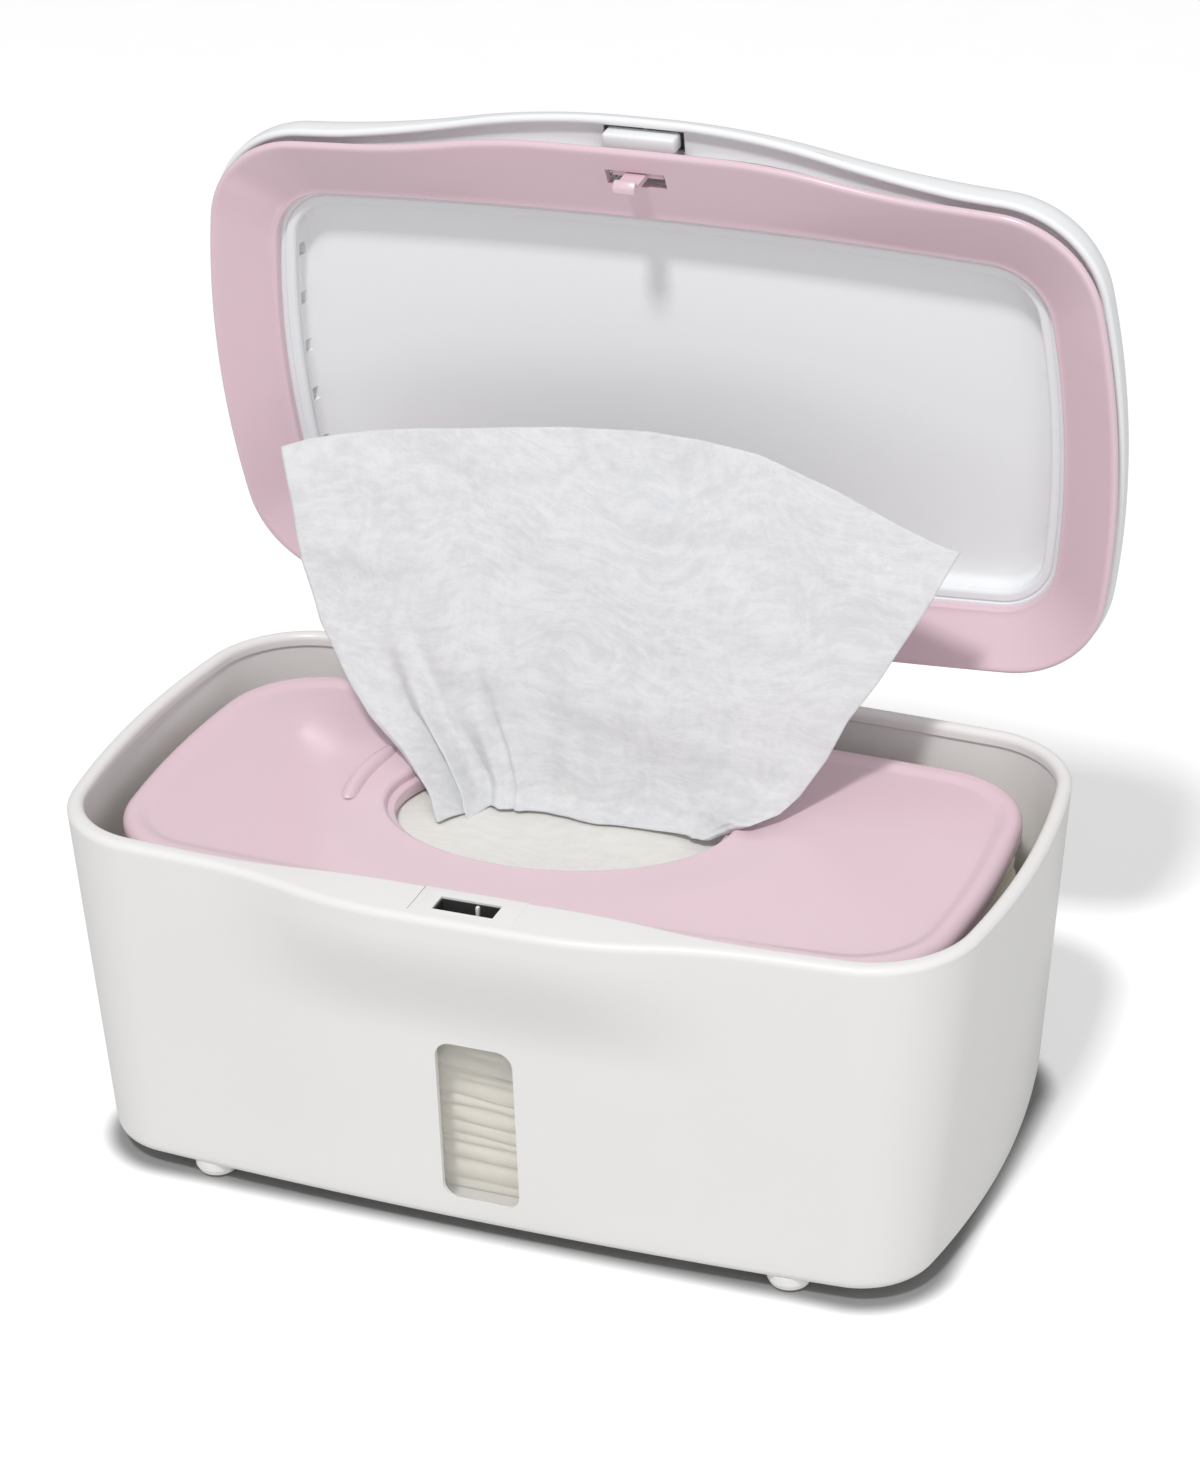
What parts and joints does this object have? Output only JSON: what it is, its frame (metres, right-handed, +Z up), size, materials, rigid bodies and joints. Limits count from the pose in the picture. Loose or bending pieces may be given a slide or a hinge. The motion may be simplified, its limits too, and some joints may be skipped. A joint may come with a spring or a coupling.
{
  "type": "wipes dispenser",
  "caption": "Countertop dispenser for folded wipes: white tub with a window, weighted pink plate with an oval opening, and a hinged lid with a press button and hook.",
  "frame": {"origin": "centre of the tub's plain outline on the plane the feet stand on", "axes": "+X to the right seen from the front, +Y towards the hinge at the back, +Z up"},
  "size_m": [0.235, 0.1545, 0.2377],
  "materials": {
    "white_plastic": "satin moulded",
    "lid_white": "satin moulded",
    "pink_plastic": "glossy moulded",
    "clear_plastic": "clear moulded",
    "dark_plastic": "matt",
    "soft_feet": "soft pale rubber",
    "gasket_rubber": "translucent soft rubber",
    "steel": "plain",
    "wipe_cloth": "soft non-woven"
  },
  "bodies": {
    "tub": {"tub_shell": "white_plastic", "window_pane": "clear_plastic", "latch_catch": "white_plastic", "latch_socket": "dark_plastic", "foot_front_left": "soft_feet", "foot_front_right": "soft_feet", "foot_back_left": "soft_feet", "foot_back_right": "soft_feet", "hinge_pin": "steel", "hinge_spring": "steel", "wipes_stack": "wipe_cloth"},
    "wipes": {"top_wipe": "wipe_cloth"},
    "weighted_plate": {"plate_cover": "pink_plastic", "plate_base": "pink_plastic", "plate_weight_left": "steel", "plate_weight_right": "steel"},
    "wipe": {"pulled_wipe": "wipe_cloth"},
    "lid": {"lid_shell": "lid_white", "lid_frame": "pink_plastic", "lid_liner": "lid_white", "lid_gasket": "gasket_rubber", "button_spring_left": "steel", "button_spring_right": "steel"},
    "latch": {"release_button": "lid_white", "latch_hook": "pink_plastic"}
  },
  "joints": [
    {"name": "lid_hinge", "type": "hinge", "parent": "tub", "child": "lid", "pos_m": [0, 0.0694, 0.0936], "axis": [1, 0, 0], "range_deg": [0, 83.7], "stiffness_Nm_per_rad": 0.08, "springref_deg": -34.38, "deforming": ["pulled_wipe"]},
    {"name": "release_button", "type": "slide", "parent": "lid", "child": "latch", "axis": [0, 0.1097, -0.994], "range_m": [0, 0.0018], "stiffness_N_per_m": 800, "springref_m": -0.002, "deforming": ["button_spring_left", "button_spring_right"]},
    {"name": "stack_level", "type": "slide", "parent": "tub", "child": "wipes", "axis": [0, 0, 1], "range_m": [-0.058, 0], "deforming": ["wipes_stack"]},
    {"name": "plate_lift", "type": "slide", "parent": "wipes", "child": "weighted_plate", "axis": [0, 0, 1], "range_m": [0, 0.12]},
    {"name": "wipe_pull", "type": "slide", "parent": "weighted_plate", "child": "wipe", "axis": [0, 0, 1], "range_m": [0, 0.14]}
  ]
}
